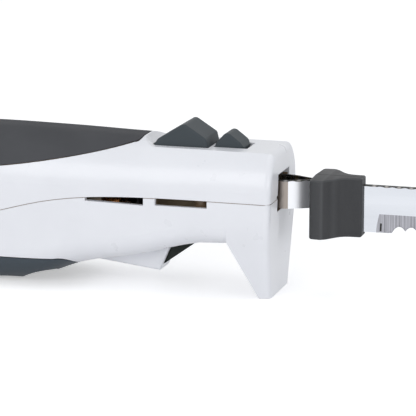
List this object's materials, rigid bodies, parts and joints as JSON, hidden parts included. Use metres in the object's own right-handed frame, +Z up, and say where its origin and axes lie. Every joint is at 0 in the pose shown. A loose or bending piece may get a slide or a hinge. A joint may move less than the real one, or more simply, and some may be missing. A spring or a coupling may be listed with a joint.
{
  "type": "electric carving knife",
  "caption": "Electric carving knife: white clamshell handle with hand guard, trigger and thumb buttons, worm-gear motor drive, and a pair of toothed blades that slide past each other",
  "frame": {"origin": "middle of the hand guard's foot, on the table the knife stands on", "axes": "+X along the handle to the blade tip, +Z up, +Y to the user's left when the blades point away"},
  "size_m": [0.4545, 0.0464, 0.0679],
  "materials": {
    "white_shell": "satin gloss",
    "soft_cover": "soft matte",
    "grip_rubber": "soft matte",
    "button_plastic": "fine matte",
    "trigger_plastic": "fine matte",
    "block_plastic": "satin",
    "blade_steel": "polished, ground edge",
    "steel": "turned",
    "bearing_bronze": "sintered",
    "nylon": "moulded",
    "frame_resin": "moulded",
    "stator_iron": "stacked sheet",
    "copper": "enamelled wire and stamped sheet",
    "carbon": "pressed carbon",
    "inner_black": "moulded",
    "capacitor_case": "dipped film"
  },
  "bodies": {
    "housing": {"upper_housing": "white_shell", "lower_housing": "white_shell", "top_inlay": "soft_cover", "lower_grip": "grip_rubber", "case_screws": "steel", "cord_inlet": "inner_black", "trigger_pin": "steel", "trigger_spring": "steel", "lock_springs": "steel", "release_spring": "steel", "gear_axle": "steel", "gear_frame": "frame_resin", "front_bearing": "bearing_bronze", "stator_core": "stator_iron", "left_field_coil": "copper", "right_field_coil": "copper", "left_brush_tube": "bearing_bronze", "right_brush_tube": "bearing_bronze", "left_brush": "carbon", "right_brush": "carbon", "left_brush_spring": "steel", "right_brush_spring": "steel", "motor_bracket": "frame_resin", "rear_bearing": "bearing_bronze", "switch_body": "inner_black", "switch_terminals": "copper", "capacitor": "capacitor_case", "clamp_bar": "frame_resin", "clamp_screws": "steel"},
    "armature": {"motor_shaft": "steel", "worm": "steel", "armature_core": "stator_iron", "armature_windings": "copper", "commutator": "copper", "cooling_fan": "inner_black"},
    "gear": {"eccentric_gear": "nylon"},
    "left_drive": {"left_driver": "frame_resin", "left_catch": "steel"},
    "right_drive": {"right_driver": "frame_resin", "right_catch": "steel"},
    "left_cutter": {"left_blade": "blade_steel", "left_finger_block": "block_plastic"},
    "right_cutter": {"right_blade": "blade_steel", "right_finger_block": "block_plastic", "tip_rivet": "steel"},
    "trigger_lever": {"trigger": "trigger_plastic"},
    "plunger": {"switch_plunger": "inner_black"},
    "lock": {"lock_button": "button_plastic"},
    "release": {"release_button": "button_plastic"}
  },
  "joints": [
    {"name": "motor_spin", "type": "hinge", "parent": "housing", "child": "armature", "pos_m": [-0.05, 0, 0.03045], "axis": [1, 0, 0], "range_deg": [-1350, 1350]},
    {"name": "gear_spin", "type": "hinge", "parent": "housing", "child": "gear", "pos_m": [-0.032, 0, 0.04115], "axis": [0, 1, 0], "range_deg": [-90, 90]},
    {"name": "left_drive_slide", "type": "slide", "parent": "housing", "child": "left_drive", "axis": [1, 0, 0], "range_m": [-0.004, 0.004]},
    {"name": "right_drive_slide", "type": "slide", "parent": "housing", "child": "right_drive", "axis": [1, 0, 0], "range_m": [-0.004, 0.004]},
    {"name": "left_blade_pull", "type": "slide", "parent": "left_drive", "child": "left_cutter", "axis": [1, 0, 0], "range_m": [0, 0.026]},
    {"name": "right_blade_pull", "type": "slide", "parent": "right_drive", "child": "right_cutter", "axis": [1, 0, 0], "range_m": [0, 0.026]},
    {"name": "trigger_pull", "type": "hinge", "parent": "housing", "child": "trigger_lever", "pos_m": [-0.062, 0, 0.0145], "axis": [0, -1, 0], "range_deg": [0, 7], "stiffness_Nm_per_rad": 0.3, "deforming": ["trigger_spring"]},
    {"name": "plunger_slide", "type": "slide", "parent": "housing", "child": "plunger", "axis": [0, 0, 1], "range_m": [0, 0.0024]},
    {"name": "lock_press", "type": "slide", "parent": "housing", "child": "lock", "axis": [0, 0, -1], "range_m": [0, 0.002], "stiffness_N_per_m": 400, "deforming": ["lock_springs"]},
    {"name": "release_slide", "type": "slide", "parent": "housing", "child": "release", "axis": [1, 0, 0], "range_m": [0, 0.0015], "stiffness_N_per_m": 300, "deforming": ["release_spring"]}
  ],
  "couplings": [
    {"joint": "gear_spin", "follows": "motor_spin", "ratio": 0.066667},
    {"joint": "left_drive_slide", "follows": "motor_spin", "m_per_rad": 0.00016977},
    {"joint": "right_drive_slide", "follows": "motor_spin", "m_per_rad": -0.00016977},
    {"joint": "right_blade_pull", "follows": "left_blade_pull", "ratio": 1},
    {"joint": "plunger_slide", "follows": "trigger_pull", "m_per_rad": 0.019}
  ]
}
